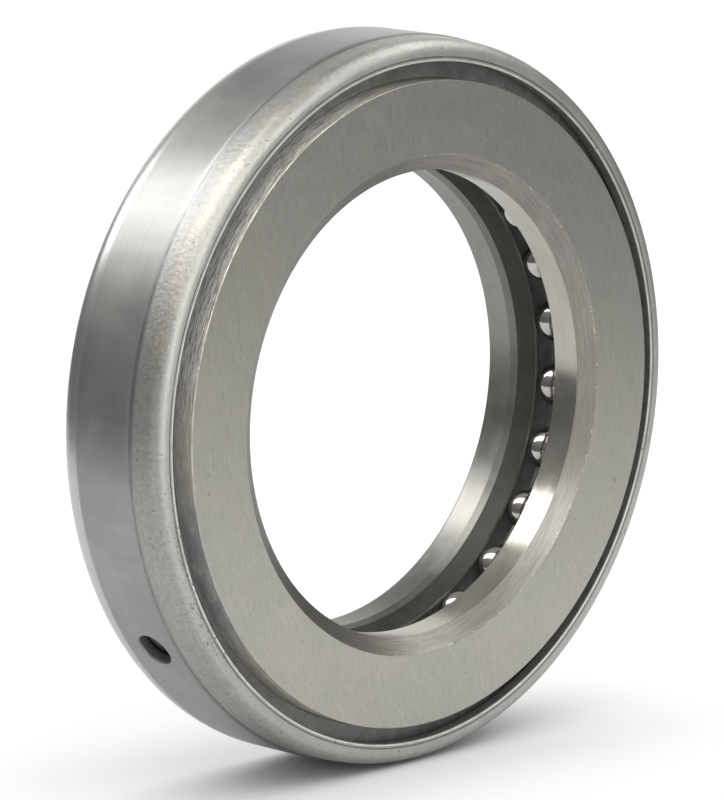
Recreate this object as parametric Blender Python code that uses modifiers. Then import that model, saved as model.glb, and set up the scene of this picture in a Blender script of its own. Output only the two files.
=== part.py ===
"""A banded thrust ball bearing, as separate pieces on one axis.

The bearing's axis is world Y. The turning race faces -Y (the front), the fixed race faces +Y (the back), and
+Z is up. The origin is the centre of the bearing. Depths are measured back from the front face.
"""

import math

import bmesh
import bpy

MM = 0.001

# Driving dimensions of the whole bearing.
WIDTH = 17.46 * MM
BAND_RADIUS = 44.70 * MM
FRONT_BORE_RADIUS = 28.575 * MM
REAR_BORE_RADIUS = 29.37 * MM

# Balls and the raceways that they run in.
BALL_COUNT = 25
BALL_RADIUS = 2.778 * MM
PITCH_RADIUS = 33.20 * MM
BALL_DEPTH = 8.55 * MM
FIRST_BALL_ANGLE = math.radians(9.3)
BALL_SEGMENTS = 12
BALL_RINGS = 8
BALL_CLEARANCE = 0.20 * MM
GROOVE_RADIUS = 1.04 * BALL_RADIUS
GROOVE_STEPS = 6

# Band: pressed sheet steel, rolled over at the front and curled in at the back.
SHEET = 1.30 * MM
LIP_INNER_RADIUS = 41.63 * MM
LIP_DEPTH = 0.95 * MM
LIP_CORNER = 0.30 * MM
ROLL_RADIUS = 1.80 * MM
ROLL_CENTRE_RADIUS = 42.56 * MM
ROLL_STEPS = 5
NECK_RADIUS = 44.45 * MM
NECK_END_DEPTH = 4.80 * MM
STEP_END_DEPTH = 5.80 * MM
CURL_START_DEPTH = 14.60 * MM
CURL_RADIUS = 3.45 * MM
CURL_ANGLE = math.radians(51.5)
CURL_STEPS = 4

# Oil hole through the band.
OIL_HOLE_RADIUS = 2.25 * MM
OIL_HOLE_DEPTH = 9.65 * MM
OIL_HOLE_ANGLE = math.radians(215.1)
OIL_HOLE_SEGMENTS = 24

# Front race: a ground face, a wide bore chamfer and a flange that the band's lip keeps in.
FRONT_FACE_RADIUS = 39.54 * MM
FRONT_EDGE_BREAK = 0.12 * MM
FRONT_CHAMFER_RADIUS = 30.66 * MM
FRONT_CHAMFER_DEPTH = 1.56 * MM
FRONT_BORE_END_DEPTH = 5.28 * MM
FRONT_SHOULDER_DEPTH = 3.20 * MM
FRONT_BACK_DEPTH = 6.30 * MM
FLANGE_RADIUS = 42.55 * MM
FLANGE_CHAMFER = 0.30 * MM

# Rear race: its outer corner is rounded to sit in the band's curl.
RACE_TO_BAND_GAP = 0.50 * MM
REAR_FRONT_DEPTH = 10.90 * MM
REAR_CORNER_CHAMFER = 0.30 * MM
REAR_BACK_RADIUS = 41.60 * MM
REAR_BORE_BACK_CHAMFER = 0.42 * MM
REAR_BORE_FRONT_DEPTH = 13.75 * MM
REAR_EDGE_RADIUS = 29.70 * MM
REAR_EDGE_DEPTH = 12.72 * MM
REAR_CONE_RADIUS = 31.00 * MM
REAR_CORNER_STEPS = 3

# Cage: a thin ring whose fingers reach in between the balls, with a stiffening rim.
CAGE_THICKNESS = 1.00 * MM
CAGE_INNER_RADIUS = 31.90 * MM
CAGE_RIM_INNER_RADIUS = 38.60 * MM
CAGE_OUTER_RADIUS = 39.60 * MM
CAGE_RIM_WIDTH = 3.00 * MM
POCKET_CLEARANCE = 0.25 * MM
POCKET_SEGMENTS = 20

TURN_SEGMENTS = 48
CAGE_SEGMENTS = 75
MERGE_DISTANCE = 0.00001


def clear_scene():
    for obj in list(bpy.data.objects):
        bpy.data.objects.remove(obj, do_unlink=True)


def make_collection(name):
    collection = bpy.data.collections.new(name)
    bpy.context.scene.collection.children.link(collection)
    return collection


def make_material(name, colour, roughness, metallic=1.0):
    material = bpy.data.materials.new(name)
    material.use_nodes = True
    shader = material.node_tree.nodes["Principled BSDF"]
    shader.inputs["Base Color"].default_value = (*colour, 1.0)
    shader.inputs["Roughness"].default_value = roughness
    shader.inputs["Metallic"].default_value = metallic
    return material


def arc(centre, radius, start, end, steps):
    """Points on an arc in the (radius, depth) plane. Angle 0 points outwards, 90 degrees points back."""
    points = []
    for i in range(steps + 1):
        angle = start + (end - start) * i / steps
        points.append((centre[0] + radius * math.cos(angle), centre[1] + radius * math.sin(angle)))
    return points


def radial(distance, angle, depth):
    """World position of a point at a distance from the axis, an angle from +X towards +Z, and a depth."""
    return (distance * math.cos(angle), depth - WIDTH / 2, distance * math.sin(angle))


def turned(name, outline, segments, collection):
    """Turn a closed outline of (radius, depth) points about the bearing's axis.

    The outline runs from front to back along the outer side, and returns along the inner side. A flat, not a
    corner, lies straight below the axis.
    """
    mesh = bpy.data.meshes.new(name)
    corners = [(r, 0.0, WIDTH / 2 - depth) for r, depth in outline]
    edges = [(i, (i + 1) % len(corners)) for i in range(len(corners))]
    mesh.from_pydata(corners, edges, [])
    obj = bpy.data.objects.new(name, mesh)
    collection.objects.link(obj)
    obj.rotation_euler = (math.pi / 2, math.pi / segments, 0.0)
    screw = obj.modifiers.new("Turn", "SCREW")
    screw.axis = "Z"
    screw.angle = 2 * math.pi
    screw.steps = segments
    screw.render_steps = segments
    screw.use_merge_vertices = True
    screw.merge_threshold = MERGE_DISTANCE
    screw.use_smooth_shade = True
    return obj


def cutter_from(name, bm, collection):
    mesh = bpy.data.meshes.new(name)
    bm.to_mesh(mesh)
    bm.free()
    obj = bpy.data.objects.new(name, mesh)
    obj.hide_render = True
    obj.display_type = "WIRE"
    collection.objects.link(obj)
    return obj


def cut(obj, cutter):
    boolean = obj.modifiers.new("Cut " + cutter.name, "BOOLEAN")
    boolean.operation = "DIFFERENCE"
    boolean.solver = "EXACT"
    boolean.object = cutter


def curl_points(radius, steps):
    """The curled back edge of the band, or of a surface at a constant distance inside it."""
    centre = (BAND_RADIUS - CURL_RADIUS, CURL_START_DEPTH)
    return arc(centre, radius, 0.0, CURL_ANGLE, steps)


def band_outline():
    lip = [
        (LIP_INNER_RADIUS, LIP_DEPTH + LIP_CORNER),
        (LIP_INNER_RADIUS + LIP_CORNER, LIP_DEPTH),
    ]
    roll_centre = (ROLL_CENTRE_RADIUS, LIP_DEPTH + ROLL_RADIUS)
    outer_roll = arc(roll_centre, ROLL_RADIUS, -math.pi / 2, 0.0, ROLL_STEPS)
    outer_wall = [(NECK_RADIUS, NECK_END_DEPTH), (BAND_RADIUS, STEP_END_DEPTH)]
    outer_curl = curl_points(CURL_RADIUS, CURL_STEPS)
    inner_curl = curl_points(CURL_RADIUS - SHEET, CURL_STEPS)
    inner_wall = [
        (BAND_RADIUS - SHEET, STEP_END_DEPTH),
        (NECK_RADIUS - SHEET, NECK_END_DEPTH),
    ]
    inner_roll = arc(roll_centre, ROLL_RADIUS - SHEET, -math.pi / 2, 0.0, 2)
    lip_back = [(LIP_INNER_RADIUS, LIP_DEPTH + SHEET)]
    front = lip + outer_roll + outer_wall + outer_curl
    back = inner_curl[::-1] + inner_wall + inner_roll[::-1] + lip_back
    return front + back


def groove_points(bottom_depth, opens_back, face_depth):
    """A raceway groove, from its inner edge to its outer edge, cut into a face at face_depth."""
    sign = 1.0 if opens_back else -1.0
    centre = (PITCH_RADIUS, bottom_depth + sign * GROOVE_RADIUS)
    half_angle = math.acos(abs(centre[1] - face_depth) / GROOVE_RADIUS)
    middle = -sign * math.pi / 2
    points = arc(centre, GROOVE_RADIUS, middle - half_angle, middle + half_angle, GROOVE_STEPS)
    return sorted(points)


def front_race_outline():
    groove = groove_points(BALL_DEPTH - BALL_RADIUS - BALL_CLEARANCE, True, FRONT_BACK_DEPTH)
    back_chamfer = FRONT_BACK_DEPTH - FRONT_BORE_END_DEPTH
    outer_side = [
        (FRONT_FACE_RADIUS - FRONT_EDGE_BREAK, 0.0),
        (FRONT_FACE_RADIUS, FRONT_EDGE_BREAK),
        (FRONT_FACE_RADIUS, FRONT_SHOULDER_DEPTH),
        (FLANGE_RADIUS - FLANGE_CHAMFER, FRONT_SHOULDER_DEPTH),
        (FLANGE_RADIUS, FRONT_SHOULDER_DEPTH + FLANGE_CHAMFER),
        (FLANGE_RADIUS, FRONT_BACK_DEPTH - FLANGE_CHAMFER),
        (FLANGE_RADIUS - FLANGE_CHAMFER, FRONT_BACK_DEPTH),
    ]
    bore_side = [
        (FRONT_BORE_RADIUS + back_chamfer, FRONT_BACK_DEPTH),
        (FRONT_BORE_RADIUS, FRONT_BORE_END_DEPTH),
        (FRONT_BORE_RADIUS, FRONT_CHAMFER_DEPTH),
        (FRONT_CHAMFER_RADIUS, 0.0),
    ]
    return outer_side + groove[::-1] + bore_side


def rear_race_outline():
    groove = groove_points(BALL_DEPTH + BALL_RADIUS + BALL_CLEARANCE, False, REAR_FRONT_DEPTH)
    outer_radius = BAND_RADIUS - SHEET - RACE_TO_BAND_GAP
    corner = curl_points(CURL_RADIUS - SHEET - RACE_TO_BAND_GAP, REAR_CORNER_STEPS)
    outer_side = [
        (outer_radius - REAR_CORNER_CHAMFER, REAR_FRONT_DEPTH),
        (outer_radius, REAR_FRONT_DEPTH + REAR_CORNER_CHAMFER),
    ]
    bore_side = [
        (REAR_BACK_RADIUS, WIDTH),
        (REAR_BORE_RADIUS + REAR_BORE_BACK_CHAMFER, WIDTH),
        (REAR_BORE_RADIUS, WIDTH - REAR_BORE_BACK_CHAMFER),
        (REAR_BORE_RADIUS, REAR_BORE_FRONT_DEPTH),
        (REAR_EDGE_RADIUS, REAR_EDGE_DEPTH),
        (REAR_CONE_RADIUS, REAR_FRONT_DEPTH),
    ]
    return outer_side + corner + bore_side + groove


def cage_outline():
    web_front = BALL_DEPTH - CAGE_THICKNESS / 2
    web_back = BALL_DEPTH + CAGE_THICKNESS / 2
    rim_front = BALL_DEPTH - CAGE_RIM_WIDTH / 2
    rim_back = BALL_DEPTH + CAGE_RIM_WIDTH / 2
    return [
        (CAGE_RIM_INNER_RADIUS, rim_front),
        (CAGE_OUTER_RADIUS, rim_front),
        (CAGE_OUTER_RADIUS, rim_back),
        (CAGE_RIM_INNER_RADIUS, rim_back),
        (CAGE_RIM_INNER_RADIUS, web_back),
        (CAGE_INNER_RADIUS, web_back),
        (CAGE_INNER_RADIUS, web_front),
        (CAGE_RIM_INNER_RADIUS, web_front),
    ]


def ball_angle(index):
    return FIRST_BALL_ANGLE + index * 2 * math.pi / BALL_COUNT


def make_oil_hole_cutter(collection):
    bm = bmesh.new()
    bmesh.ops.create_cone(
        bm,
        cap_ends=True,
        segments=OIL_HOLE_SEGMENTS,
        radius1=OIL_HOLE_RADIUS,
        radius2=OIL_HOLE_RADIUS,
        depth=6 * SHEET,
    )
    cutter = cutter_from("oil_hole_cutter", bm, collection)
    cutter.location = radial(BAND_RADIUS, OIL_HOLE_ANGLE, OIL_HOLE_DEPTH)
    cutter.rotation_euler = (0.0, math.pi / 2 - OIL_HOLE_ANGLE, 0.0)
    return cutter


def make_pocket_cutter(collection):
    """Every ball pocket of the cage, as one cutter of separate cylinders along the bearing's axis."""
    bm = bmesh.new()
    for index in range(BALL_COUNT):
        made = bmesh.ops.create_cone(
            bm,
            cap_ends=True,
            segments=POCKET_SEGMENTS,
            radius1=BALL_RADIUS + POCKET_CLEARANCE,
            radius2=BALL_RADIUS + POCKET_CLEARANCE,
            depth=3 * CAGE_THICKNESS,
        )
        angle = ball_angle(index)
        place = (PITCH_RADIUS * math.cos(angle), PITCH_RADIUS * math.sin(angle), 0.0)
        bmesh.ops.translate(bm, verts=made["verts"], vec=place)
    cutter = cutter_from("pocket_cutter", bm, collection)
    cutter.location = (0.0, BALL_DEPTH - WIDTH / 2, 0.0)
    cutter.rotation_euler = (math.pi / 2, 0.0, 0.0)
    return cutter


def make_balls(collection, cage_axis, material):
    mesh = bpy.data.meshes.new("ball")
    bm = bmesh.new()
    bmesh.ops.create_uvsphere(bm, u_segments=BALL_SEGMENTS, v_segments=BALL_RINGS, radius=BALL_RADIUS)
    bm.to_mesh(mesh)
    bm.free()
    mesh.shade_smooth()
    mesh.materials.append(material)
    for index in range(BALL_COUNT):
        ball = bpy.data.objects.new(f"ball_{index + 1:02d}", mesh)
        collection.objects.link(ball)
        ball.parent = cage_axis
        ball.location = radial(PITCH_RADIUS, ball_angle(index), BALL_DEPTH)
        ball.rotation_euler = (0.0, -ball_angle(index), 0.0)


def make_axis(name, parent, collection):
    axis = bpy.data.objects.new(name, None)
    axis.parent = parent
    collection.objects.link(axis)
    return axis


def attach(obj, parent, material):
    obj.parent = parent
    obj.data.materials.append(material)


def main():
    clear_scene()
    parts = make_collection("thrust_ball_bearing")
    cutters = make_collection("cutters")

    band_steel = make_material("drawn_steel", (0.46, 0.46, 0.44), 0.36)
    front_steel = make_material("ground_steel", (0.50, 0.49, 0.46), 0.42)
    rear_steel = make_material("turned_steel", (0.47, 0.46, 0.43), 0.34)
    cage_steel = make_material("dark_sheet_steel", (0.12, 0.12, 0.11), 0.45)
    ball_steel = make_material("polished_steel", (0.80, 0.80, 0.78), 0.06)

    bearing_axis = make_axis("bearing_axis", None, parts)
    race_axis = make_axis("race_axis", bearing_axis, parts)
    cage_axis = make_axis("cage_axis", bearing_axis, parts)

    band = turned("outer_band", band_outline(), TURN_SEGMENTS, parts)
    cut(band, make_oil_hole_cutter(cutters))
    attach(band, bearing_axis, band_steel)

    rear_race = turned("rear_race", rear_race_outline(), TURN_SEGMENTS, parts)
    attach(rear_race, bearing_axis, rear_steel)

    front_race = turned("front_race", front_race_outline(), TURN_SEGMENTS, parts)
    attach(front_race, race_axis, front_steel)

    cage = turned("ball_cage", cage_outline(), CAGE_SEGMENTS, parts)
    cut(cage, make_pocket_cutter(cutters))
    attach(cage, cage_axis, cage_steel)

    make_balls(parts, cage_axis, ball_steel)


main()
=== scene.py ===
"""Detailed look of the banded thrust ball bearing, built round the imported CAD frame.

Lengths in this file are millimetres unless a name ends in _M. An outline is a closed list of points
(radius, depth), where depth runs back from the front face, as in the CAD source.
"""

import math

import bmesh
import bpy
from mathutils import Matrix, Vector, noise


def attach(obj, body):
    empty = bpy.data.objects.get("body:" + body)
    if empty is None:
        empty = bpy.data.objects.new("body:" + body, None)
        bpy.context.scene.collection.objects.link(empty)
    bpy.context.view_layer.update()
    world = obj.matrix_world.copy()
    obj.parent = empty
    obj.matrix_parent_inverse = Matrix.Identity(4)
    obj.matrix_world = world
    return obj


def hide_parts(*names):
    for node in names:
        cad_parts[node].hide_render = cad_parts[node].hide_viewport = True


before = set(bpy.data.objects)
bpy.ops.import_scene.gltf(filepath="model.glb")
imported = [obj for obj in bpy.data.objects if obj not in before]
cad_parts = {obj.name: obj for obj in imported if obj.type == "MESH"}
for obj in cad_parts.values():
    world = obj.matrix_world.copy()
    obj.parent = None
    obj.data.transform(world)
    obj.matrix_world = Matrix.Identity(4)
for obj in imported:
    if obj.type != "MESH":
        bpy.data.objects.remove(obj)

MM = 0.001
WIDTH = 17.46
TURN_SEGMENTS = 360
SHARP_ANGLE = math.radians(38)

# Band.
SHEET = 1.30
BAND_RADIUS = 44.70
NECK_RADIUS = 44.45
LIP_RADIUS = 41.63
LIP_DEPTH = 0.95
LIP_FILLET = 0.12
ROLL_RADIUS = 1.80
ROLL_CENTRE = (42.56, 2.75)
NECK_END_DEPTH = 4.80
STEP_END_DEPTH = 5.80
CURL_RADIUS = 3.45
CURL_CENTRE = (41.25, 14.60)
CURL_ANGLE = math.radians(51.5)
OIL_HOLE_RADIUS = 2.25
OIL_HOLE_RIM = 0.16
OIL_HOLE_REACH = 4.00
OIL_HOLE_DEPTH = 9.65
OIL_HOLE_ANGLE = math.radians(215.1)

# Races.
FACE_RADIUS = 39.54
FLANGE_RADIUS = 42.55
SHOULDER_DEPTH = 3.20
FRONT_BACK_DEPTH = 6.30
BORE_RADIUS = 28.575
BORE_CHAMFER_RADIUS = 30.66
BORE_CHAMFER_DEPTH = 1.56
BORE_END_DEPTH = 5.28
REAR_FRONT_DEPTH = 10.90
REAR_GAP = 0.50
REAR_BACK_RADIUS = 41.60
REAR_BORE_RADIUS = 29.37
REAR_BORE_FRONT_DEPTH = 13.75
REAR_EDGE_RADIUS = 29.70
REAR_EDGE_DEPTH = 12.72
REAR_CONE_RADIUS = 31.00

# Balls and cage.
BALL_COUNT = 25
BALL_RADIUS = 2.778
PITCH_RADIUS = 33.20
BALL_DEPTH = 8.55
FIRST_BALL_ANGLE = math.radians(9.3)
BALL_CLEARANCE = 0.20
GROOVE_RADIUS = 1.04 * BALL_RADIUS
POCKET_RADIUS = BALL_RADIUS + 0.25
CAGE_THICKNESS = 1.00
CAGE_INNER_RADIUS = 31.90
CAGE_RIM_INNER_RADIUS = 38.60
CAGE_OUTER_RADIUS = 39.60
CAGE_RIM_WIDTH = 3.00

# Camera and stage. The floor lies a hair under the band, and its edges are measured across and along
# the view, level with the ground.
UP = Vector((0.0, 0.0, 1.0))
CAMERA_M = Vector((-0.468698, -0.456648, 0.1256055))
CAMERA_FORWARD = Vector((0.7015126, 0.6870913, -0.1891708))
CAMERA_RIGHT = CAMERA_FORWARD.cross(UP).normalized()
CAMERA_UP = CAMERA_RIGHT.cross(CAMERA_FORWARD)
CAMERA_LEVEL = UP.cross(CAMERA_RIGHT)
LENS = 245.76
SENSOR = 36.0
FLOOR_GAP_M = 0.00005
FLOOR_M = -BAND_RADIUS * MM - FLOOR_GAP_M
FLOOR_LEFT_M = 0.215
FLOOR_RIGHT_M = 0.225
FLOOR_NEAR_M = 0.90
FLOOR_FAR_M = 1.60
ROOM_AT_HORIZON = 0.21
ROOM_OVERHEAD = 0.46

# Marks on the metal, and where the turned side gets painted glints and painted shade: angles about the
# axis, in degrees. The scratches' angle is in radians.
GOLD_ANGLE = 142
COOL_ANGLE = 146
BLUE_ANGLE = 172
PITTED_ANGLE = 203
PAINTED_GLINT_ANGLE = 138
LIT_SIDE_ANGLE = 178
SCRATCH_ANGLE = 0.65


# ---------------------------------------------------------------- meshes

def arc(centre, radius, start, end, steps):
    """Points on an arc. Angle 0 points outwards, 90 degrees points back."""
    angles = [start + (end - start) * i / steps for i in range(steps + 1)]
    return [(centre[0] + radius * math.cos(a), centre[1] + radius * math.sin(a)) for a in angles]


def rounded(corners, steps=4):
    """A closed outline from (radius, depth, fillet) corners. A fillet has a support point on each side."""
    points = []
    for i, (r, d, fillet) in enumerate(corners):
        here = Vector((r, d))
        if not fillet:
            points.append(here)
            continue
        before = (Vector(corners[i - 1][:2]) - here).normalized()
        after = (Vector(corners[(i + 1) % len(corners)][:2]) - here).normalized()
        half = before.angle(after) / 2
        run = fillet / math.tan(half)
        centre = here + (before + after).normalized() * fillet / math.sin(half)
        start = (here + before * run - centre).normalized()
        end = (here + after * run - centre).normalized()
        points.append(here + before * run * 1.5)
        points += [centre + start.slerp(end, k / steps) * fillet for k in range(steps + 1)]
        points.append(here + after * run * 1.5)
    return [tuple(p) for p in points]


def refined(outline, step):
    """The outline with its long edges divided, so that no edge is longer than step."""
    points = []
    for i, point in enumerate(outline):
        here, there = Vector(point), Vector(outline[(i + 1) % len(outline)])
        parts = max(1, math.ceil((there - here).length / step))
        points += [tuple(here.lerp(there, k / parts)) for k in range(parts)]
    return points


def groove(bottom_depth, opens_back, face_depth):
    """A raceway groove cut into a face at face_depth, from its inner edge to its outer edge."""
    sign = 1.0 if opens_back else -1.0
    centre = (PITCH_RADIUS, bottom_depth + sign * GROOVE_RADIUS)
    half = math.acos(abs(centre[1] - face_depth) / GROOVE_RADIUS)
    middle = -sign * math.pi / 2
    return sorted(arc(centre, GROOVE_RADIUS, middle - half, middle + half, 24))


def new_object(name, data):
    obj = bpy.data.objects.new(name, data)
    bpy.context.scene.collection.objects.link(obj)
    return obj


def add_mesh(names, verts, faces, materials):
    """A smooth closed piece. names are the piece, the body it rides on, the node it replaces, and its slot,
    which is not used.
    """
    name, body, node, slot = names
    mesh = bpy.data.meshes.new(name)
    mesh.from_pydata(verts, [], faces)
    obj = new_object(name, mesh)
    bm = bmesh.new()
    bm.from_mesh(mesh)
    if bm.calc_volume(signed=True) < 0:
        bmesh.ops.reverse_faces(bm, faces=bm.faces)
    bm.to_mesh(mesh)
    bm.free()
    mesh.shade_smooth()
    for material in materials:
        mesh.materials.append(material)
    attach(obj, body)
    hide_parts(node)
    return obj


def turned(names, outline, materials, relief=None):
    """Turn an outline about the axis. relief(radius, depth, angle) gives how far a point moves outwards."""
    verts, faces, count = [], [], len(outline)
    for s in range(TURN_SEGMENTS):
        angle = 2 * math.pi * s / TURN_SEGMENTS
        for r, d in outline:
            far = r + (relief(r, d, angle) if relief else 0.0)
            verts.append((far * math.cos(angle) * MM, (d - WIDTH / 2) * MM, far * math.sin(angle) * MM))
    for s in range(TURN_SEGMENTS):
        a, b = s * count, (s + 1) % TURN_SEGMENTS * count
        faces += [(a + i, a + (i + 1) % count, b + (i + 1) % count, b + i) for i in range(count)]
    return add_mesh(names, verts, faces, materials)


def paint(obj, choose):
    """Gives each face the material slot that choose(radius, depth, outward normal, back normal) names."""
    for face in obj.data.polygons:
        x, y, z = face.center
        radius = math.hypot(x, z)
        out = (face.normal.x * x + face.normal.z * z) / radius
        face.material_index = choose(radius / MM, y / MM + WIDTH / 2, out, face.normal.y)


def cut(obj, cutter):
    """Cuts cutter out of obj for good, and removes the cutter."""
    boolean = obj.modifiers.new("Cut", "BOOLEAN")
    boolean.solver = "EXACT"
    boolean.object = cutter
    bpy.context.view_layer.update()
    depsgraph = bpy.context.evaluated_depsgraph_get()
    result = bpy.data.meshes.new_from_object(obj.evaluated_get(depsgraph))
    obj.modifiers.clear()
    obj.data = result
    bpy.data.objects.remove(cutter, do_unlink=True)
    result.set_sharp_from_angle(angle=SHARP_ANGLE)


def plug(name, sections, segments=72):
    """A closed solid of round sections (radius, height), for cutting. It stands on local Z."""
    bm = bmesh.new()
    angles = [2 * math.pi * k / segments for k in range(segments)]
    rings = []
    for radius, height in sections:
        points = [Vector((radius * math.cos(a), radius * math.sin(a), height)) * MM for a in angles]
        rings.append([bm.verts.new(point) for point in points])
    for low, high in zip(rings, rings[1:]):
        for k in range(segments):
            bm.faces.new((low[k], low[(k + 1) % segments], high[(k + 1) % segments], high[k]))
    bm.faces.new(rings[0][::-1])
    bm.faces.new(rings[-1])
    mesh = bpy.data.meshes.new(name)
    bm.to_mesh(mesh)
    bm.free()
    return new_object(name, mesh)


def wave(angle, depth, around, along, seed):
    """Smooth noise from about -1 to 1 on a turned surface, with no break where the angle wraps round."""
    return noise.noise(Vector((around * math.cos(angle) + seed, around * math.sin(angle), along * depth)))


# ---------------------------------------------------------------- node helpers

def node(tree, kind, inputs=None, **settings):
    """A new shader node. An input whose value is a socket is linked, and any other value is set."""
    made = tree.nodes.new("ShaderNode" + kind)
    for key, value in settings.items():
        setattr(made, key, value)
    for key, value in (inputs or {}).items():
        if isinstance(value, bpy.types.NodeSocket):
            tree.links.new(value, made.inputs[key])
        else:
            made.inputs[key].default_value = value
    return made


def calc(tree, operation, a, b=0.0):
    return node(tree, "Math", {0: a, 1: b}, operation=operation).outputs[0]


def times(tree, a, b):
    return calc(tree, "MULTIPLY", a, b)


def spread(tree, value, low, high, to_low=0.0, to_high=1.0):
    """Maps low..high to to_low..to_high with soft ends, and holds the end values outside that range."""
    inputs = {"Value": value, "From Min": low, "From Max": high, "To Min": to_low, "To Max": to_high}
    return node(tree, "MapRange", inputs, interpolation_type="SMOOTHSTEP").outputs[0]


def blend(tree, factor, a, b, mode="MIX"):
    """Colour a where factor is 0 and colour b where it is 1."""
    made = node(tree, "Mix", {0: factor, 6: a, 7: b}, data_type="RGBA", blend_type=mode)
    return made.outputs[2]


def texture(tree, place, scale, detail, roughness):
    inputs = {"Vector": place, "Scale": scale, "Detail": detail, "Roughness": roughness}
    return node(tree, "TexNoise", inputs).outputs[0]


def vector(tree, x, y, z):
    return node(tree, "CombineXYZ", {0: x, 1: y, 2: z}).outputs[0]


def shaded(tree, colour, shade):
    """The colour made lighter or darker by a number."""
    return blend(tree, 1.0, colour, vector(tree, shade, shade, shade), "MULTIPLY")


def place_in_mm(tree):
    """A point's place on the bearing, in mm."""
    place = node(tree, "TexCoord").outputs["Object"]
    scale = (1 / MM, 1 / MM, 1 / MM)
    return node(tree, "VectorMath", {0: place, 1: scale}, operation="MULTIPLY").outputs[0]


def polar(tree):
    """Sockets for a turned surface: position in mm, radius, depth and the unit direction outwards."""
    place = place_in_mm(tree)
    x, y, z = node(tree, "SeparateXYZ", {0: place}).outputs
    flat = vector(tree, x, 0.0, z)
    radius = node(tree, "VectorMath", {0: flat}, operation="LENGTH").outputs["Value"]
    return {
        "place": place,
        "x": x,
        "z": z,
        "radius": radius,
        "depth": calc(tree, "ADD", y, WIDTH / 2),
        "ux": calc(tree, "DIVIDE", x, radius),
        "uz": calc(tree, "DIVIDE", z, radius),
    }


def around(tree, at, across, stretch, density):
    """Texture coordinates that are long around the axis and fine across it."""
    ux = times(tree, at["ux"], stretch)
    uz = times(tree, at["uz"], stretch)
    return vector(tree, ux, times(tree, across, density), uz)


def sector(tree, at, angle, half_width, soft):
    """1 near an angle about the axis, fading to 0 within soft of half_width. Angles are in degrees."""
    a = math.radians(angle)
    toward = calc(tree, "ADD", times(tree, at["ux"], math.cos(a)), times(tree, at["uz"], math.sin(a)))
    low = math.cos(math.radians(half_width + soft))
    high = math.cos(math.radians(max(0.0, half_width - soft)))
    return spread(tree, toward, low, high)


def band_pass(tree, value, low, high, soft):
    """1 between low and high, fading to 0 over soft on each side."""
    rise = spread(tree, value, low - soft, low + soft)
    fall = spread(tree, value, high - soft, high + soft, 1.0, 0.0)
    return times(tree, rise, fall)


def metal(name, anisotropic=0.0, rotation=0.0):
    """A new metal with its tree and shader. An anisotropic one takes its tangent from the axis."""
    material = bpy.data.materials.new(name)
    material.use_nodes = True
    tree = material.node_tree
    shader = tree.nodes["Principled BSDF"]
    shader.inputs["Metallic"].default_value = 1.0
    shader.inputs["Anisotropic"].default_value = anisotropic
    shader.inputs["Anisotropic Rotation"].default_value = rotation
    if anisotropic:
        tangent = node(tree, "Tangent", direction_type="RADIAL", axis="Y")
        tree.links.new(tangent.outputs[0], shader.inputs["Tangent"])
    return material, tree, shader


def bump(tree, height, strength, distance, normal=None):
    """A normal bumped by height. The distance is in mm, and a negative one presses in."""
    inputs = {"Height": height, "Strength": strength, "Distance": distance * MM}
    if normal:
        inputs["Normal"] = normal
    return node(tree, "Bump", inputs).outputs[0]


def finish_metal(tree, shader, colour, roughness, normal):
    tree.links.new(colour, shader.inputs["Base Color"])
    tree.links.new(roughness, shader.inputs["Roughness"])
    tree.links.new(normal, shader.inputs["Normal"])


# ---------------------------------------------------------------- materials

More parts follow.
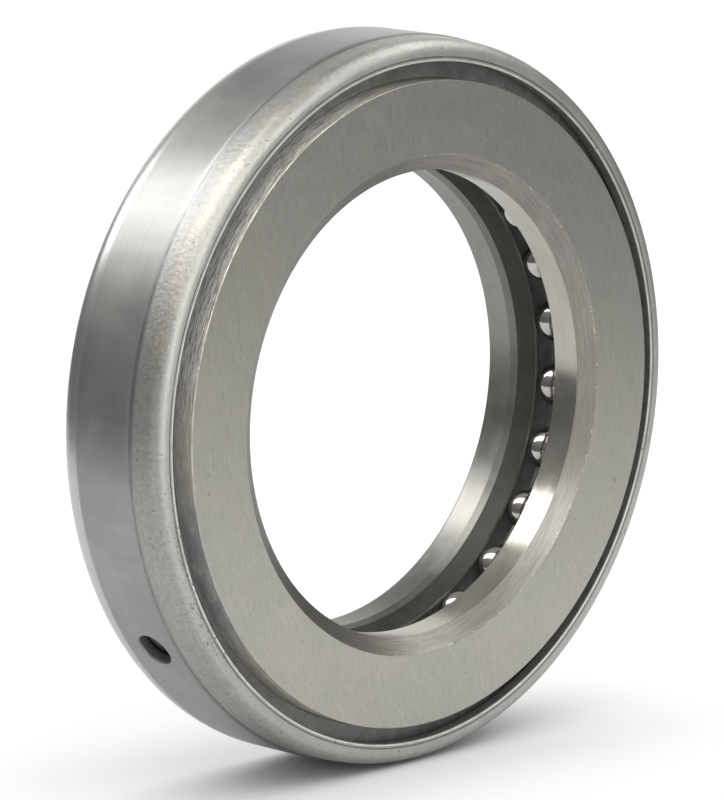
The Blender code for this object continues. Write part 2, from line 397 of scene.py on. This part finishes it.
def band_metal():
    """Drawn sheet steel: satin outside, a coarser rolled front with pits and stains, a burnished back, a
    painted highlight along the lip's edge, and painted shade on the lip beside the roll and in the step
    behind the neck.
    """
    material, tree, shader = metal("band_drawn_steel", 0.3, 0.25)
    at = polar(tree)
    lines = texture(tree, around(tree, at, at["depth"], 5.0, 6.0), 1.0, 5.0, 0.7)
    streaks = texture(tree, around(tree, at, at["depth"], 22.0, 0.06), 1.0, 4.0, 0.65)
    cloud = texture(tree, at["place"], 0.12, 4.0, 0.6)
    peel = texture(tree, at["place"], 1.6, 5.0, 0.65)
    stain = texture(tree, at["place"], 0.42, 4.0, 0.65)
    grain = texture(tree, at["place"], 5.0, 3.0, 0.6)
    pits = spread(tree, texture(tree, at["place"], 1.9, 2.0, 0.5), 0.68, 0.74)
    specks = spread(tree, texture(tree, at["place"], 3.4, 2.0, 0.6), 0.62, 0.68)
    specks = times(tree, specks, sector(tree, at, PITTED_ANGLE, 16, 12))
    front = spread(tree, at["depth"], 4.6, 5.2, 1.0, 0.0)
    rim = times(tree, front, spread(tree, at["radius"], 43.1, 43.9, 1.0, 0.0))
    # A thin ring just outside the lip's inner edge, painted near white below: a painted highlight along the
    # edge.
    lip = times(tree, front, band_pass(tree, at["radius"], 41.76, 41.90, 0.05))
    # A ring at radius 42.10 to 42.30 on the lip, painted near black below: painted shade where the sheet
    # turns into the roll.
    painted_crease_shade = times(tree, front, band_pass(tree, at["radius"], 42.10, 42.30, 0.07))
    edge_line_noise = texture(tree, around(tree, at, at["radius"], 14.0, 6.0), 1.0, 4.0, 0.7)
    back = spread(tree, at["depth"], 14.0, 14.5)

    cloudy = spread(tree, cloud, 0.35, 0.65)
    colour = blend(tree, cloudy, (0.285, 0.285, 0.275, 1), (0.325, 0.325, 0.312, 1))
    rolled = blend(tree, peel, (0.23, 0.227, 0.210, 1), (0.46, 0.454, 0.425, 1))
    colour = blend(tree, front, colour, rolled)
    colour = blend(tree, times(tree, rim, 0.65), colour, (0.475, 0.470, 0.435, 1))
    # The painted highlight along the lip's edge, broken up by noise.
    lip = times(tree, lip, spread(tree, edge_line_noise, 0.3, 0.55))
    colour = blend(tree, lip, colour, (0.85, 0.84, 0.79, 1))
    # The painted shade on the lip beside the roll, broken up by noise.
    painted_crease_shade = times(tree, painted_crease_shade, spread(tree, edge_line_noise, 0.3, 0.6, 0.5, 0.9))
    colour = blend(tree, painted_crease_shade, colour, (0.10, 0.097, 0.085, 1))
    colour = blend(tree, back, colour, (0.48, 0.475, 0.46, 1))
    shade = spread(tree, lines, 0.25, 0.75, 0.93, 1.05)
    shade = times(tree, shade, spread(tree, streaks, 0.25, 0.75, 0.95, 1.04))
    colour = shaded(tree, colour, shade)
    gold = times(tree, sector(tree, at, GOLD_ANGLE, 24, 12), band_pass(tree, at["depth"], 1.6, 3.2, 0.5))
    gold = times(tree, gold, spread(tree, stain, 0.38, 0.66, 0.05, 0.50))
    colour = blend(tree, gold, colour, (0.50, 0.445, 0.355, 1))
    cool = times(tree, sector(tree, at, COOL_ANGLE, 38, 16), band_pass(tree, at["depth"], 3.3, 5.6, 0.5))
    cool = times(tree, cool, spread(tree, stain, 0.35, 0.60, 0.40, 0.05))
    colour = blend(tree, cool, colour, (0.33, 0.338, 0.360, 1))
    blue = times(tree, sector(tree, at, BLUE_ANGLE, 9, 8), band_pass(tree, at["depth"], 4.9, 5.5, 0.15))
    colour = blend(tree, times(tree, blue, 0.45), colour, (0.18, 0.17, 0.24, 1))
    # A dark ring at the step from the neck up to the cylinder: painted shade in the step.
    painted_step_shade = band_pass(tree, at["depth"], 5.10, 5.35, 0.18)
    painted_step_shade = times(tree, painted_step_shade, spread(tree, streaks, 0.3, 0.6, 0.25, 0.65))
    colour = blend(tree, painted_step_shade, colour, (0.10, 0.10, 0.095, 1))
    pitted = times(tree, pits, spread(tree, front, 0.0, 1.0, 0.10, 0.75))
    pitted = calc(tree, "MAXIMUM", pitted, times(tree, specks, rim))
    colour = blend(tree, pitted, colour, (0.13, 0.125, 0.11, 1))

    rough = spread(tree, cloud, 0.3, 0.7, 0.38, 0.42)
    rough = calc(tree, "ADD", rough, times(tree, grain, 0.05))
    rough = calc(tree, "ADD", rough, times(tree, front, 0.05))
    rough = calc(tree, "SUBTRACT", rough, times(tree, back, 0.11))
    normal = bump(tree, lines, 0.22, 0.02)
    normal = bump(tree, grain, 0.15, 0.02, normal)
    normal = bump(tree, times(tree, peel, front), 0.8, 0.08, normal)
    normal = bump(tree, pitted, 0.7, -0.06, normal)
    finish_metal(tree, shader, colour, rough, normal)
    return material


def inner_metal():
    """Oily steel inside the bearing, out of the light, with painted shade darkening it towards its outer
    radius.
    """
    material, tree, shader = metal("oily_inner_steel")
    shader.inputs["Metallic"].default_value = 0.3
    at = polar(tree)
    film = texture(tree, at["place"], 0.8, 4.0, 0.6)
    colour = blend(tree, spread(tree, film, 0.3, 0.7), (0.24, 0.245, 0.228, 1), (0.35, 0.352, 0.33, 1))
    # Darker towards the outer radius: painted shade deep in the gap.
    outer = spread(tree, at["radius"], 38.0, 39.5, 0.0, 0.45)
    colour = blend(tree, outer, colour, (0.06, 0.06, 0.055, 1))
    rough = spread(tree, film, 0.3, 0.7, 0.40, 0.55)
    finish_metal(tree, shader, colour, rough, bump(tree, film, 0.2, 0.03))
    return material


def hole_metal():
    """The wall of the oil hole, painted dark as the shade inside the hole."""
    material, tree, shader = metal("oil_hole_dark_steel")
    shader.inputs["Metallic"].default_value = 0.5
    at = polar(tree)
    film = texture(tree, at["place"], 1.5, 3.0, 0.6)
    colour = blend(tree, film, (0.08, 0.082, 0.085, 1), (0.16, 0.16, 0.155, 1))
    rough = spread(tree, film, 0.3, 0.7, 0.45, 0.6)
    finish_metal(tree, shader, colour, rough, bump(tree, film, 0.2, 0.03))
    return material


def face_metal():
    """A ground face: straight fine scratches, light mottling and a few small marks."""
    material, tree, shader = metal("ground_face_steel")
    at = polar(tree)
    scratches = vector(tree, times(tree, at["x"], 5.5), 0.0, times(tree, at["z"], 0.32))
    fine = texture(tree, scratches, 1.0, 4.0, 0.65)
    mottle = texture(tree, at["place"], 2.2, 4.0, 0.6)
    tint = texture(tree, at["place"], 0.17, 3.0, 0.6)
    marks = spread(tree, texture(tree, at["place"], 1.1, 1.0, 0.4), 0.775, 0.80)
    slanted = {"Vector": at["place"], "Angle": SCRATCH_ANGLE}
    slanted = node(tree, "VectorRotate", slanted, rotation_type="Y_AXIS").outputs[0]
    slanted = node(tree, "VectorMath", {0: slanted, 1: (2.1, 0.0, 0.13)}, operation="MULTIPLY").outputs[0]
    slant = spread(tree, texture(tree, slanted, 1.0, 2.0, 0.5), 0.60, 0.68)

    colour = blend(tree, spread(tree, tint, 0.35, 0.65), (0.398, 0.392, 0.350, 1), (0.415, 0.400, 0.358, 1))
    colour = shaded(tree, colour, spread(tree, fine, 0.25, 0.75, 0.90, 1.08))
    colour = shaded(tree, colour, spread(tree, mottle, 0.25, 0.75, 0.95, 1.04))
    colour = blend(tree, times(tree, slant, 0.25), colour, (0.52, 0.51, 0.47, 1))
    colour = blend(tree, times(tree, marks, 0.5), colour, (0.20, 0.19, 0.17, 1))
    rough = spread(tree, fine, 0.3, 0.7, 0.36, 0.41)
    normal = bump(tree, fine, 0.30, 0.02)
    normal = bump(tree, mottle, 0.15, 0.01, normal)
    normal = bump(tree, marks, 0.4, -0.04, normal)
    finish_metal(tree, shader, colour, rough, normal)
    return material


def side_metal():
    """The rough-turned outside of the front race: dark tool lines and uneven stains, with painted
    highlights on the crests and painted glints towards the strip light, painted light on its deeper part
    and painted shade on the far side.
    """
    material, tree, shader = metal("turned_side_steel")
    shader.inputs["Metallic"].default_value = 0.4
    at = polar(tree)
    lines = texture(tree, around(tree, at, at["depth"], 16.0, 6.5), 1.0, 5.0, 0.75)
    stain = texture(tree, at["place"], 0.35, 4.0, 0.65)
    # Short bright flecks: painted glints.
    painted_glints = texture(tree, around(tree, at, at["depth"], 60.0, 5.0), 1.0, 3.0, 0.6)
    painted_glints = spread(tree, painted_glints, 0.58, 0.68)
    # The sector that faces the strip light, where the side gets painted highlights and painted glints.
    glint_sector = sector(tree, at, PAINTED_GLINT_ANGLE, 30, 16)
    # Tool lines with near-white crests: painted highlights on the crests.
    colour = blend(tree, spread(tree, lines, 0.40, 0.58), (0.25, 0.225, 0.19, 1), (0.90, 0.87, 0.81, 1))
    calm = blend(tree, stain, (0.40, 0.365, 0.28, 1), (0.62, 0.59, 0.54, 1))
    # Away from that sector the side takes the calmer stained colour, without the painted highlights.
    colour = blend(tree, spread(tree, glint_sector, 0.0, 1.0, 0.60, 0.05), colour, calm)
    slate = times(tree, sector(tree, at, PITTED_ANGLE, 12, 9), spread(tree, stain, 0.40, 0.58, 0.15, 0.85))
    colour = blend(tree, slate, colour, (0.31, 0.32, 0.36, 1))
    # Up to a third lighter towards the back of the side: painted light that lifts the shade near the lip.
    painted_fill_light = spread(tree, at["depth"], 0.6, 3.0, 1.0, 1.35)
    colour = shaded(tree, colour, painted_fill_light)
    colour = blend(tree, times(tree, painted_glints, glint_sector), colour, (0.95, 0.94, 0.90, 1))
    # Away from the lit side the colour turns near black: painted shade.
    colour = blend(tree, sector(tree, at, LIT_SIDE_ANGLE, 80, 20), (0.12, 0.118, 0.105, 1), colour)
    rough = spread(tree, lines, 0.3, 0.7, 0.56, 0.38)
    normal = bump(tree, lines, 0.9, 0.08)
    finish_metal(tree, shader, colour, rough, normal)
    return material


def chamfer_metal():
    """The machined bore chamfer: warm grey with uneven tool lines, worn bright at its outer edge, where the
    light flecks are also a painted edge highlight.
    """
    material, tree, shader = metal("turned_chamfer_steel", 0.4, 0.25)
    at = polar(tree)
    lines = texture(tree, around(tree, at, at["radius"], 7.0, 5.0), 1.0, 5.0, 0.75)
    stain = texture(tree, at["place"], 0.5, 4.0, 0.6)
    flecks = spread(tree, texture(tree, at["place"], 4.0, 3.0, 0.6), 0.56, 0.70)
    crests = spread(tree, lines, 0.32, 0.68)
    colour = blend(tree, crests, (0.198, 0.188, 0.168, 1), (0.275, 0.263, 0.238, 1))
    colour = blend(tree, spread(tree, stain, 0.45, 0.7, 0.0, 0.5), colour, (0.255, 0.238, 0.205, 1))
    # Light flecks on a thin ring at the outer edge: wear, and a painted highlight along the edge.
    worn_edge_highlight = times(tree, spread(tree, at["radius"], 30.42, 30.62), flecks)
    colour = blend(tree, worn_edge_highlight, colour, (0.75, 0.74, 0.68, 1))
    rough = spread(tree, lines, 0.3, 0.7, 0.46, 0.36)
    normal = bump(tree, lines, 0.30, 0.02)
    normal = bump(tree, stain, 0.3, 0.02, normal)
    finish_metal(tree, shader, colour, rough, normal)
    return material


def bore_metal(name, light, dark, smooth, dull):
    """A bored or honed surface, light to dark in colour and smooth to dull in roughness."""
    material, tree, shader = metal(name, 0.35, 0.25)
    shader.inputs["Specular Tint"].default_value = (0.80, 0.80, 0.80, 1)
    at = polar(tree)
    lines = texture(tree, around(tree, at, at["depth"], 4.0, 4.5), 1.0, 4.0, 0.6)
    cloud = texture(tree, at["place"], 0.25, 4.0, 0.6)
    specks = spread(tree, texture(tree, at["place"], 2.4, 1.0, 0.4), 0.76, 0.80)
    colour = blend(tree, spread(tree, cloud, 0.3, 0.7), (*dark, 1), (*light, 1))
    shade = spread(tree, lines, 0.25, 0.75, 0.93, 1.05)
    colour = shaded(tree, colour, shade)
    colour = blend(tree, times(tree, specks, 0.4), colour, (0.15, 0.14, 0.12, 1))
    rough = spread(tree, cloud, 0.3, 0.7, smooth, dull)
    normal = bump(tree, lines, 0.14, 0.015)
    finish_metal(tree, shader, colour, rough, normal)
    return material


def cage_metal():
    """Oiled dark sheet steel, with painted shade making it darkest at its inner edge, between the balls."""
    material, tree, shader = metal("cage_dark_steel")
    shader.inputs["Metallic"].default_value = 0.3
    at = polar(tree)
    cloud = texture(tree, at["place"], 0.6, 4.0, 0.6)
    grain = texture(tree, at["place"], 5.0, 3.0, 0.6)
    colour = blend(tree, spread(tree, cloud, 0.3, 0.7), (0.20, 0.205, 0.19, 1), (0.30, 0.30, 0.27, 1))
    # Near black towards the inner edge, between the balls: painted shade.
    colour = blend(tree, spread(tree, at["radius"], 32.2, 34.5, 0.9, 0.0), colour, (0.03, 0.03, 0.028, 1))
    rough = spread(tree, grain, 0.3, 0.7, 0.40, 0.55)
    finish_metal(tree, shader, colour, rough, bump(tree, grain, 0.2, 0.02))
    return material


def ball_metal():
    """Mirror-polished balls under a thin, uneven film of oil."""
    material, tree, shader = metal("ball_polished_steel")
    place = place_in_mm(tree)
    film = texture(tree, place, 0.5, 3.0, 0.6)
    marks = texture(tree, place, 3.5, 3.0, 0.6)
    colour = blend(tree, spread(tree, film, 0.35, 0.65), (0.44, 0.44, 0.43, 1), (0.42, 0.385, 0.355, 1))
    rough = spread(tree, marks, 0.35, 0.75, 0.10, 0.20)
    finish_metal(tree, shader, colour, rough, bump(tree, film, 0.05, 0.02))
    return material


# ---------------------------------------------------------------- pieces

def step_points(count):
    """The smooth step from the neck up to the cylinder."""
    points = []
    for k in range(count + 1):
        rise = (1 - math.cos(math.pi * k / count)) / 2
        depth = NECK_END_DEPTH + (STEP_END_DEPTH - NECK_END_DEPTH) * k / count
        points.append((NECK_RADIUS + (BAND_RADIUS - NECK_RADIUS) * rise, depth))
    return points


def band_outline():
    """The sheet's section: from the lip over the roll, neck, step and curl, and back along its inside."""
    lip = rounded([
        (LIP_RADIUS, LIP_DEPTH + SHEET, 0),
        (LIP_RADIUS, LIP_DEPTH, LIP_FILLET),
        (ROLL_CENTRE[0], LIP_DEPTH, 0),
    ])
    step = step_points(8)
    outside = lip[:-1]
    outside += arc(ROLL_CENTRE, ROLL_RADIUS, -math.pi / 2, 0.0, 20)
    outside += step
    outside += arc(CURL_CENTRE, CURL_RADIUS, 0.0, CURL_ANGLE, 18)
    inside = arc(CURL_CENTRE, CURL_RADIUS - SHEET, 0.0, CURL_ANGLE, 12)[::-1]
    inside += [(r - SHEET, d) for r, d in step[::-1]]
    inside += arc(ROLL_CENTRE, ROLL_RADIUS - SHEET, -math.pi / 2, 0.0, 6)[::-1]
    return refined(outside + inside, 0.8)


def band_relief(r, d, angle):
    """Slight unevenness of the pressed sheet, most of it on the rolled front."""
    front = max(0.0, min(1.0, (STEP_END_DEPTH - d) / 2.0))
    ripple = 0.010 * wave(angle, d, 9.0, 0.5, 3.0) + 0.005 * wave(angle, d, 24.0, 0.9, 8.0)
    return (0.35 + 0.65 * front) * ripple


def oil_hole_cutter(mouth):
    """A bar that widens at the mouth, where it breaks the hole's outer edge."""
    sections = [
        (OIL_HOLE_RADIUS, -OIL_HOLE_REACH),
        (OIL_HOLE_RADIUS, -OIL_HOLE_RIM - 0.06),
        (OIL_HOLE_RADIUS + OIL_HOLE_RIM, 0.0),
        (OIL_HOLE_RADIUS + 3 * OIL_HOLE_RIM, 2 * OIL_HOLE_RIM),
        (OIL_HOLE_RADIUS + 3 * OIL_HOLE_RIM, OIL_HOLE_REACH),
    ]
    cutter = plug("oil_hole", sections)
    turn = Matrix.Rotation(math.pi / 2 - OIL_HOLE_ANGLE, 4, "Y")
    cutter.matrix_world = Matrix.Translation(mouth) @ turn
    return cutter


def make_band(inner):
    """The band, with its oil hole cut. The hole's wall is painted dark, as shade inside the hole, from
    below its broken edge.
    """
    outside, hole, inside = range(3)
    materials = [band_metal(), hole_metal(), inner]
    names = ("outer_band_skin", "housing", "outer_band", "band")
    band = turned(names, band_outline(), materials, band_relief)
    out = Vector((math.cos(OIL_HOLE_ANGLE), 0.0, math.sin(OIL_HOLE_ANGLE)))
    mouth = (out * BAND_RADIUS + Vector((0.0, OIL_HOLE_DEPTH - WIDTH / 2, 0.0))) * MM
    cut(band, oil_hole_cutter(mouth))

    def choose(r, d, outwards, back):
        return inside if r < ROLL_CENTRE[0] + 1.0 and outwards < -0.25 else outside

    paint(band, choose)
    # Faces of the hole's wall take the dark hole material: painted shade inside the hole.
    for face in band.data.polygons:
        offset = (face.center - mouth) / MM
        height = offset.dot(out)
        beside = (offset - out * height).length
        if -2 * SHEET < height < -OIL_HOLE_RIM and beside < OIL_HOLE_RADIUS + 0.02:
            face.material_index = hole


def front_race_outline():
    back_chamfer = FRONT_BACK_DEPTH - BORE_END_DEPTH
    outside = [
        (FACE_RADIUS, 0.0, 0.09),
        (FACE_RADIUS, SHOULDER_DEPTH, 0.25),
        (FLANGE_RADIUS, SHOULDER_DEPTH, 0.25),
        (FLANGE_RADIUS, FRONT_BACK_DEPTH, 0.25),
    ]
    channel = groove(BALL_DEPTH - BALL_RADIUS - BALL_CLEARANCE, True, FRONT_BACK_DEPTH)
    inside = [
        (BORE_RADIUS + back_chamfer, FRONT_BACK_DEPTH, 0.08),
        (BORE_RADIUS, BORE_END_DEPTH, 0.15),
        (BORE_RADIUS, BORE_CHAMFER_DEPTH, 0.10),
        (BORE_CHAMFER_RADIUS, 0.0, 0.07),
    ]
    corners = outside + [(r, d, 0) for r, d in channel[::-1]] + inside
    return refined(rounded(corners), 0.45)


def front_race_relief(r, d, angle):
    """Tool lines on the rough-turned outside."""
    if r > FACE_RADIUS - 0.02 and 0.12 < d < SHOULDER_DEPTH - 0.2:
        return 0.012 * wave(angle, d, 3.0, 5.0, 1.0) + 0.006 * wave(angle, d, 14.0, 9.0, 5.0)
    return 0.0


def make_front_race(inner):
    """The turning race. Its faces are told apart by where they lie and which way they look."""
    face, side, chamfer, bored, inside = range(5)
    bore = bore_metal("honed_bore_steel", (0.430, 0.413, 0.362), (0.390, 0.374, 0.328), 0.18, 0.24)
    materials = [face_metal(), side_metal(), chamfer_metal(), bore, inner]
    outline = front_race_outline()
    names = ("front_race_skin", "front_race", "front_race", "front_race")
    race = turned(names, outline, materials, front_race_relief)

    def choose(r, d, outwards, back):
        if back < -0.95 and r < FACE_RADIUS:
            return face
        if d > SHOULDER_DEPTH - 0.15 and r > BORE_RADIUS + 0.9:
            return inside
        if r > BORE_CHAMFER_RADIUS + 0.2:
            return side
        return chamfer if d < BORE_CHAMFER_DEPTH else bored

    paint(race, choose)


def rear_race_outline():
    outer = BAND_RADIUS - SHEET - REAR_GAP
    corner = arc(CURL_CENTRE, CURL_RADIUS - SHEET - REAR_GAP, 0.0, CURL_ANGLE, 10)
    outside = [(outer, REAR_FRONT_DEPTH, 0.25)] + [(r, d, 0) for r, d in corner]
    inside = [
        (REAR_BACK_RADIUS, WIDTH, 0.12),
        (REAR_BORE_RADIUS, WIDTH, 0.40),
        (REAR_BORE_RADIUS, REAR_BORE_FRONT_DEPTH, 0.30),
        (REAR_EDGE_RADIUS, REAR_EDGE_DEPTH, 0.20),
        (REAR_CONE_RADIUS, REAR_FRONT_DEPTH, 0.08),
    ]
    channel = groove(BALL_DEPTH + BALL_RADIUS + BALL_CLEARANCE, False, REAR_FRONT_DEPTH)
    corners = outside + inside + [(r, d, 0) for r, d in channel]
    return refined(rounded(corners), 0.6)


def make_rear_race(inner):
    """The fixed race. Its bore is a straight part at the back, a narrow edge, and a dark cone in front."""
    turned_faces, edge, cone, inside = range(4)
    materials = [
        bore_metal("rear_turned_steel", (0.28, 0.275, 0.253), (0.23, 0.225, 0.208), 0.34, 0.44),
        bore_metal("rear_edge_steel", (0.24, 0.235, 0.215), (0.19, 0.185, 0.17), 0.38, 0.48),
        bore_metal("rear_cone_steel", (0.090, 0.090, 0.080), (0.065, 0.065, 0.057), 0.58, 0.66),
        inner,
    ]
    race = turned(("rear_race_skin", "housing", "rear_race", "rear_race"), rear_race_outline(), materials)

    def choose(r, d, outwards, back):
        if r > REAR_CONE_RADIUS + 0.05 and back < 0.5:
            return inside
        if r > REAR_CONE_RADIUS + 0.2 or d > REAR_BORE_FRONT_DEPTH - 0.05:
            return turned_faces
        return cone if d < REAR_EDGE_DEPTH else edge

    paint(race, choose)


def ball_place(index):
    """A ball's centre, in metres."""
    angle = FIRST_BALL_ANGLE + index * 2 * math.pi / BALL_COUNT
    x = PITCH_RADIUS * math.cos(angle)
    z = PITCH_RADIUS * math.sin(angle)
    return Vector((x, BALL_DEPTH - WIDTH / 2, z)) * MM


def pockets_cutter():
    """One round bar through the cage for each ball."""
    bm = bmesh.new()
    turn = Matrix.Rotation(math.pi / 2, 4, "X")
    for index in range(BALL_COUNT):
        made = bmesh.ops.create_cone(
            bm,
            cap_ends=True,
            segments=48,
            radius1=POCKET_RADIUS * MM,
            radius2=POCKET_RADIUS * MM,
            depth=CAGE_RIM_WIDTH * MM,
        )
        matrix = Matrix.Translation(ball_place(index)) @ turn
        bmesh.ops.transform(bm, matrix=matrix, verts=made["verts"])
    mesh = bpy.data.meshes.new("pockets")
    bm.to_mesh(mesh)
    bm.free()
    return new_object("pockets", mesh)


def make_cage():
    """A flat web with a round pocket for each ball, and a wider rim around it."""
    web = (BALL_DEPTH - CAGE_THICKNESS / 2, BALL_DEPTH + CAGE_THICKNESS / 2)
    rim = (BALL_DEPTH - CAGE_RIM_WIDTH / 2, BALL_DEPTH + CAGE_RIM_WIDTH / 2)
    corners = [
        (CAGE_RIM_INNER_RADIUS, rim[0], 0.15),
        (CAGE_OUTER_RADIUS, rim[0], 0.15),
        (CAGE_OUTER_RADIUS, rim[1], 0.15),
        (CAGE_RIM_INNER_RADIUS, rim[1], 0.15),
        (CAGE_RIM_INNER_RADIUS, web[1], 0.12),
        (CAGE_INNER_RADIUS, web[1], 0.15),
        (CAGE_INNER_RADIUS, web[0], 0.15),
        (CAGE_RIM_INNER_RADIUS, web[0], 0.12),
    ]
    outline = refined(rounded(corners, 3), 1.2)
    cage = turned(("ball_cage_skin", "cage", "ball_cage", "cage"), outline, [cage_metal()])
    cut(cage, pockets_cutter())


def make_balls():
    """All balls share one mesh. Each is turned its own way, so that their oil films differ."""
    mesh = bpy.data.meshes.new("ball")
    bm = bmesh.new()
    bmesh.ops.create_icosphere(bm, subdivisions=5, radius=BALL_RADIUS * MM)
    bm.to_mesh(mesh)
    bm.free()
    mesh.shade_smooth()
    mesh.materials.append(ball_metal())
    for index in range(BALL_COUNT):
        name = f"ball_{index + 1:02d}"
        ball = new_object(name + "_skin", mesh)
        ball.location = ball_place(index)
        ball.rotation_euler = (0.7 * index, 1.3 * index, 0.4 * index)
        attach(ball, name)
        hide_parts(name)


# ---------------------------------------------------------------- stage, light and camera

def make_floor():
    """A white sheet that lies along the view. The band stands on it."""
    ends = [
        (-FLOOR_LEFT_M, -FLOOR_NEAR_M),
        (FLOOR_RIGHT_M, -FLOOR_NEAR_M),
        (FLOOR_RIGHT_M, FLOOR_FAR_M),
        (-FLOOR_LEFT_M, FLOOR_FAR_M),
    ]
    corners = [CAMERA_RIGHT * a + CAMERA_LEVEL * b + UP * FLOOR_M for a, b in ends]
    mesh = bpy.data.meshes.new("floor")
    mesh.from_pydata([tuple(c) for c in corners], [], [(0, 1, 2, 3)])
    floor = new_object("floor", mesh)
    material = bpy.data.materials.new("pale_floor")
    material.use_nodes = True
    shader = material.node_tree.nodes["Principled BSDF"]
    shader.inputs["Base Color"].default_value = (0.86, 0.86, 0.86, 1)
    shader.inputs["Roughness"].default_value = 0.9
    shader.inputs["Specular IOR Level"].default_value = 0.0
    mesh.materials.append(material)


def softbox(name, centre, size, power, glossy=True, diffuse=True):
    """A rectangular area light that faces the bearing, its first side along Y where it can be.

    Its centre and size are in metres and its power is in watts.
    """
    light = bpy.data.lights.new(name, "AREA")
    light.shape = "RECTANGLE"
    light.size, light.size_y = size
    light.energy = power
    obj = new_object(name, light)
    obj.location = centre
    back = Vector(centre).normalized()
    side = (Vector((0, 1, 0)) - back * back.y).normalized()
    up = back.cross(side)
    obj.rotation_euler = Matrix((side, up, back)).transposed().to_euler()
    obj.visible_camera = False
    obj.visible_glossy = glossy
    obj.visible_diffuse = diffuse


def make_world():
    """White to the camera, an even pale room for diffuse light, and a dim room in reflections."""
    world = bpy.data.worlds.new("studio")
    bpy.context.scene.world = world
    world.use_nodes = True
    tree = world.node_tree
    room = tree.nodes["Background"]
    direction = node(tree, "TexCoord").outputs["Generated"]
    height = node(tree, "SeparateXYZ", {0: direction}).outputs[2]
    level = spread(tree, height, 0.05, 0.75, ROOM_AT_HORIZON, ROOM_OVERHEAD)
    tree.links.new(vector(tree, level, level, level), room.inputs["Color"])
    path = node(tree, "LightPath")
    pale = node(tree, "Background", {"Color": (0.96, 0.98, 1.0, 1), "Strength": 0.80})
    white = node(tree, "Background", {"Color": (1, 1, 1, 1), "Strength": 1.0})
    shown = room.outputs[0]
    for ray, light in (("Is Diffuse Ray", pale), ("Is Camera Ray", white)):
        inputs = {0: path.outputs[ray], 1: shown, 2: light.outputs[0]}
        shown = node(tree, "MixShader", inputs).outputs[0]
    tree.links.new(shown, tree.nodes["World Output"].inputs["Surface"])


def make_lights():
    """An even key for the floor, and four softboxes that show only as reflections in the metal."""
    softbox("floor_key", (0.1, 0.0, 1.2), (3.0, 3.0), 26.0, glossy=False)
    softbox("strip", (-0.60, 0.0, 1.10), (5.2, 0.60), 50.0, diffuse=False)
    softbox("front", (0.22, -1.50, 0.32), (1.5, 0.70), 11.0, diffuse=False)
    softbox("right", (0.90, -0.25, 1.0), (0.8, 0.6), 7.4, diffuse=False)
    softbox("backdrop", (0.87, 1.08, 0.30), (1.2, 0.9), 3.7, diffuse=False)


def make_camera():
    data = bpy.data.cameras.new("camera")
    data.lens = LENS
    data.sensor_width = SENSOR
    data.clip_start = 0.01
    camera = new_object("camera", data)
    turn = Matrix((CAMERA_RIGHT, CAMERA_UP, -CAMERA_FORWARD)).transposed()
    camera.matrix_world = Matrix.Translation(CAMERA_M) @ turn.to_4x4()
    bpy.context.scene.camera = camera


def main():
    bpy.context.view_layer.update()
    inner = inner_metal()
    make_band(inner)
    make_front_race(inner)
    make_rear_race(inner)
    make_cage()
    make_balls()
    make_floor()
    make_world()
    make_lights()
    make_camera()
    bpy.context.scene.view_settings.view_transform = "Standard"
    bpy.context.view_layer.update()


main()
